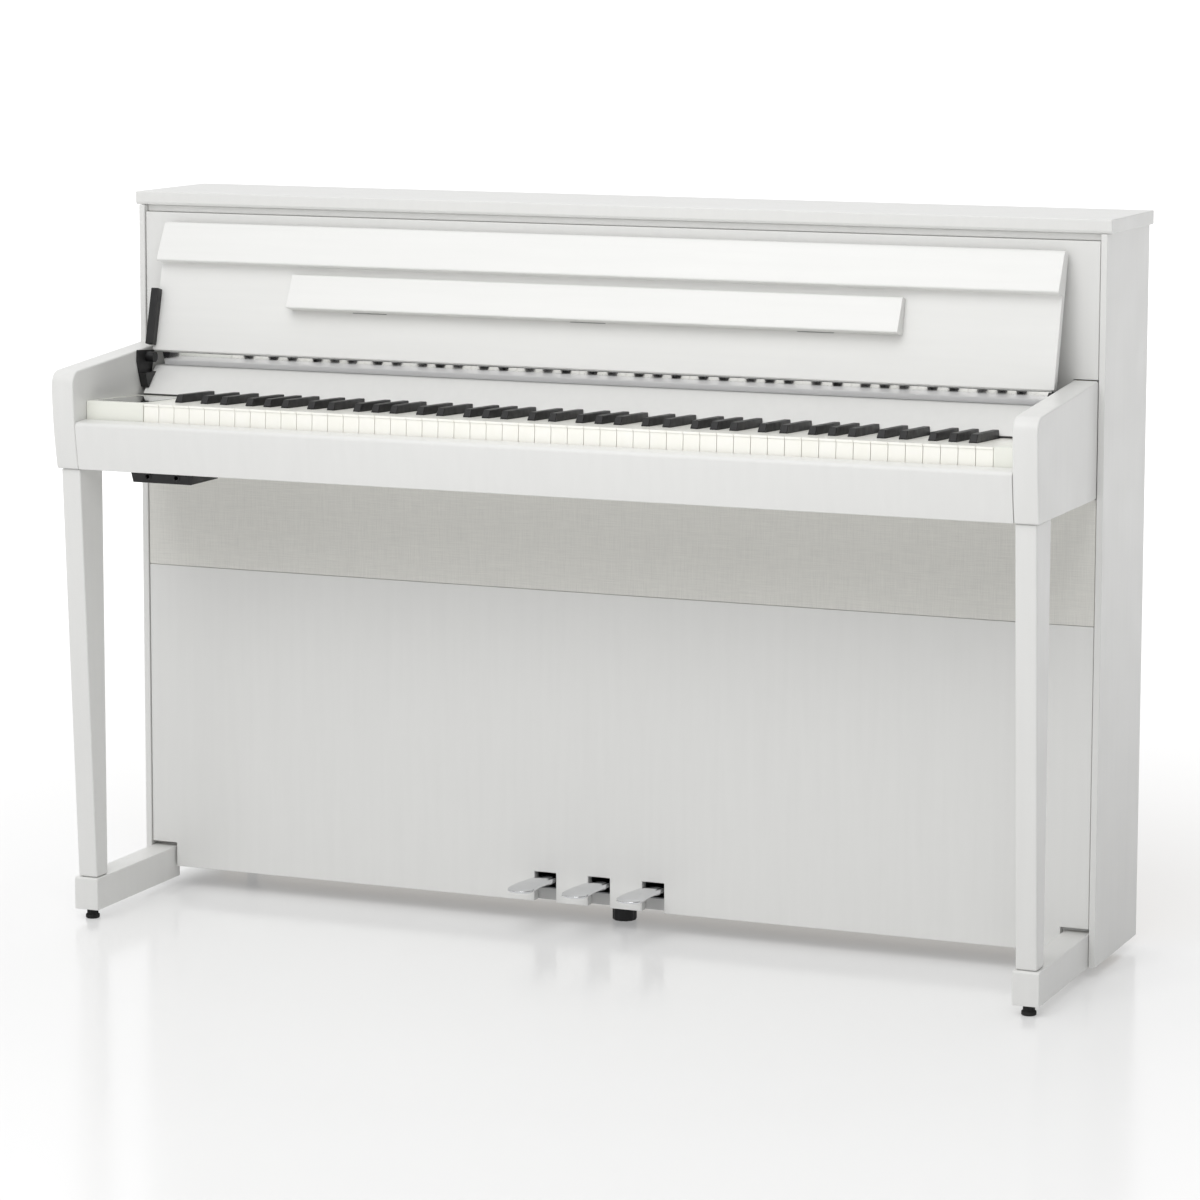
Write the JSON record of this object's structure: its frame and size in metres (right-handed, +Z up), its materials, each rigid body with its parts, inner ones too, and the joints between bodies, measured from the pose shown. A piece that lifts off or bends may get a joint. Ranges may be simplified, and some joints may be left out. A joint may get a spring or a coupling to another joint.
{
  "type": "upright digital piano",
  "caption": "White upright digital piano on two front legs, with a folding key lid that carries a folding music ledge, hinged keys, three pedals and a speaker cloth band.",
  "frame": {"origin": "on the floor, under the middle of the cabinet's width and depth", "axes": "+X from the bass end to the treble end, +Y from the player to the back, +Z up"},
  "size_m": [1.451, 0.485, 1.0207],
  "materials": {
    "satin_white": "satin white lacquer on board",
    "speaker_cloth": "finely woven light grey-beige cloth",
    "raw_board": "plain unpainted board, hidden",
    "rubber_foot": "matt black rubber",
    "gloss_black": "polished black",
    "mirror_trim": "mirror polished strip",
    "key_felt": "thin dark felt",
    "black_plastic": "fine matt black",
    "pedal_chrome": "polished plate",
    "steel": "grey painted sheet steel, hidden",
    "circuit_green": "green circuit board",
    "white_key": "slightly warm white, fine satin",
    "black_key": "fine matt black"
  },
  "bodies": {
    "cabinet": {"left_side_panel": "satin_white", "right_side_panel": "satin_white", "top_lid": "satin_white", "top_rail": "satin_white", "upper_front_panel": "satin_white", "lower_front_panel": "satin_white", "key_bed": "satin_white", "key_slip": "satin_white", "left_arm": "satin_white", "right_arm": "satin_white", "left_leg": "satin_white", "right_leg": "satin_white", "left_toe_block": "satin_white", "right_toe_block": "satin_white", "bottom_board": "satin_white", "key_back_rail": "satin_white", "left_cheek_block": "satin_white", "right_cheek_block": "satin_white", "speaker_cloth_panel": "speaker_cloth", "back_panel": "raw_board", "balance_rail": "raw_board", "front_left_foot": "rubber_foot", "front_right_foot": "rubber_foot", "rear_left_foot": "rubber_foot", "rear_right_foot": "rubber_foot", "control_display": "gloss_black", "mirror_strip": "mirror_trim", "key_felt": "key_felt", "headphone_box": "black_plastic", "left_hinge_bracket": "black_plastic", "right_hinge_bracket": "black_plastic", "left_woofer": "black_plastic", "right_woofer": "black_plastic", "power_inlet": "black_plastic", "pedal_box": "steel", "main_circuit_board": "circuit_green"},
    "key_lid": {"fallboard": "satin_white", "left_hinge_arm": "black_plastic"},
    "music_ledge": {"music_ledge": "satin_white"},
    "soft_pedal": {"soft_pedal": "pedal_chrome"},
    "sostenuto_pedal": {"sostenuto_pedal": "pedal_chrome"},
    "damper_pedal": {"damper_pedal": "pedal_chrome"},
    "white_keys_bass": {"white_keys_bass": "white_key"},
    "white_keys_treble": {"white_keys_treble": "white_key"},
    "key_c4": {"key_c4": "white_key"},
    "key_d4": {"key_d4": "white_key"},
    "key_e4": {"key_e4": "white_key"},
    "key_f4": {"key_f4": "white_key"},
    "key_g4": {"key_g4": "white_key"},
    "key_a4": {"key_a4": "white_key"},
    "key_b4": {"key_b4": "white_key"},
    "black_keys_bass": {"black_keys_bass": "black_key"},
    "black_keys_treble": {"black_keys_treble": "black_key"},
    "key_c_sharp4": {"key_c_sharp4": "black_key"},
    "key_d_sharp4": {"key_d_sharp4": "black_key"},
    "key_f_sharp4": {"key_f_sharp4": "black_key"},
    "key_g_sharp4": {"key_g_sharp4": "black_key"},
    "key_a_sharp4": {"key_a_sharp4": "black_key"},
    "power_button": {"power_button": "black_plastic"},
    "pedal_adjuster": {"pedal_adjuster": "black_plastic"}
  },
  "joints": [
    {"name": "key_lid_hinge", "type": "hinge", "parent": "cabinet", "child": "key_lid", "pos_m": [0, -0.03, 0.789], "axis": [-1, 0, 0], "range_deg": [-107, 0]},
    {"name": "music_ledge_hinge", "type": "hinge", "parent": "key_lid", "child": "music_ledge", "pos_m": [0, -0.02162, 0.86533], "axis": [1, 0, 0], "range_deg": [0, 80]},
    {"name": "soft_pedal_press", "type": "hinge", "parent": "cabinet", "child": "soft_pedal", "pos_m": [0, 0.092, 0.061], "axis": [1, 0, 0], "range_deg": [0, 6], "stiffness_Nm_per_rad": 12, "springref_deg": -5.73},
    {"name": "sostenuto_pedal_press", "type": "hinge", "parent": "cabinet", "child": "sostenuto_pedal", "pos_m": [0, 0.092, 0.061], "axis": [1, 0, 0], "range_deg": [0, 6], "stiffness_Nm_per_rad": 12, "springref_deg": -5.73},
    {"name": "damper_pedal_press", "type": "hinge", "parent": "cabinet", "child": "damper_pedal", "pos_m": [0, 0.092, 0.061], "axis": [1, 0, 0], "range_deg": [0, 6], "stiffness_Nm_per_rad": 12, "springref_deg": -5.73},
    {"name": "white_keys_bass_press", "type": "hinge", "parent": "cabinet", "child": "white_keys_bass", "pos_m": [0, 0.0106, 0.7072], "axis": [1, 0, 0], "range_deg": [0, 2.65], "stiffness_Nm_per_rad": 30, "springref_deg": -11.46},
    {"name": "white_keys_treble_press", "type": "hinge", "parent": "cabinet", "child": "white_keys_treble", "pos_m": [0, 0.0106, 0.7072], "axis": [1, 0, 0], "range_deg": [0, 2.65], "stiffness_Nm_per_rad": 30, "springref_deg": -11.46},
    {"name": "key_c4_press", "type": "hinge", "parent": "cabinet", "child": "key_c4", "pos_m": [0, 0.0106, 0.7072], "axis": [1, 0, 0], "range_deg": [0, 2.65], "stiffness_Nm_per_rad": 0.8, "springref_deg": -20.05},
    {"name": "key_d4_press", "type": "hinge", "parent": "cabinet", "child": "key_d4", "pos_m": [0, 0.0106, 0.7072], "axis": [1, 0, 0], "range_deg": [0, 2.65], "stiffness_Nm_per_rad": 0.8, "springref_deg": -20.05},
    {"name": "key_e4_press", "type": "hinge", "parent": "cabinet", "child": "key_e4", "pos_m": [0, 0.0106, 0.7072], "axis": [1, 0, 0], "range_deg": [0, 2.65], "stiffness_Nm_per_rad": 0.8, "springref_deg": -20.05},
    {"name": "key_f4_press", "type": "hinge", "parent": "cabinet", "child": "key_f4", "pos_m": [0, 0.0106, 0.7072], "axis": [1, 0, 0], "range_deg": [0, 2.65], "stiffness_Nm_per_rad": 0.8, "springref_deg": -20.05},
    {"name": "key_g4_press", "type": "hinge", "parent": "cabinet", "child": "key_g4", "pos_m": [0, 0.0106, 0.7072], "axis": [1, 0, 0], "range_deg": [0, 2.65], "stiffness_Nm_per_rad": 0.8, "springref_deg": -20.05},
    {"name": "key_a4_press", "type": "hinge", "parent": "cabinet", "child": "key_a4", "pos_m": [0, 0.0106, 0.7072], "axis": [1, 0, 0], "range_deg": [0, 2.65], "stiffness_Nm_per_rad": 0.8, "springref_deg": -20.05},
    {"name": "key_b4_press", "type": "hinge", "parent": "cabinet", "child": "key_b4", "pos_m": [0, 0.0106, 0.7072], "axis": [1, 0, 0], "range_deg": [0, 2.65], "stiffness_Nm_per_rad": 0.8, "springref_deg": -20.05},
    {"name": "black_keys_bass_press", "type": "hinge", "parent": "cabinet", "child": "black_keys_bass", "pos_m": [0, 0.0106, 0.7072], "axis": [1, 0, 0], "range_deg": [0, 2.65], "stiffness_Nm_per_rad": 10, "springref_deg": -11.46},
    {"name": "black_keys_treble_press", "type": "hinge", "parent": "cabinet", "child": "black_keys_treble", "pos_m": [0, 0.0106, 0.7072], "axis": [1, 0, 0], "range_deg": [0, 2.65], "stiffness_Nm_per_rad": 10, "springref_deg": -11.46},
    {"name": "key_c_sharp4_press", "type": "hinge", "parent": "cabinet", "child": "key_c_sharp4", "pos_m": [0, 0.0106, 0.7072], "axis": [1, 0, 0], "range_deg": [0, 2.65], "stiffness_Nm_per_rad": 0.8, "springref_deg": -20.05},
    {"name": "key_d_sharp4_press", "type": "hinge", "parent": "cabinet", "child": "key_d_sharp4", "pos_m": [0, 0.0106, 0.7072], "axis": [1, 0, 0], "range_deg": [0, 2.65], "stiffness_Nm_per_rad": 0.8, "springref_deg": -20.05},
    {"name": "key_f_sharp4_press", "type": "hinge", "parent": "cabinet", "child": "key_f_sharp4", "pos_m": [0, 0.0106, 0.7072], "axis": [1, 0, 0], "range_deg": [0, 2.65], "stiffness_Nm_per_rad": 0.8, "springref_deg": -20.05},
    {"name": "key_g_sharp4_press", "type": "hinge", "parent": "cabinet", "child": "key_g_sharp4", "pos_m": [0, 0.0106, 0.7072], "axis": [1, 0, 0], "range_deg": [0, 2.65], "stiffness_Nm_per_rad": 0.8, "springref_deg": -20.05},
    {"name": "key_a_sharp4_press", "type": "hinge", "parent": "cabinet", "child": "key_a_sharp4", "pos_m": [0, 0.0106, 0.7072], "axis": [1, 0, 0], "range_deg": [0, 2.65], "stiffness_Nm_per_rad": 0.8, "springref_deg": -20.05},
    {"name": "power_button_press", "type": "slide", "parent": "cabinet", "child": "power_button", "axis": [0, -0.0454, -0.999], "range_m": [0, 0.0012], "stiffness_N_per_m": 800, "springref_m": -0.001},
    {"name": "pedal_adjuster_turn", "type": "hinge", "parent": "cabinet", "child": "pedal_adjuster", "pos_m": [0.008, 0.11, 0], "axis": [0, 0, 1], "continuous": true}
  ]
}
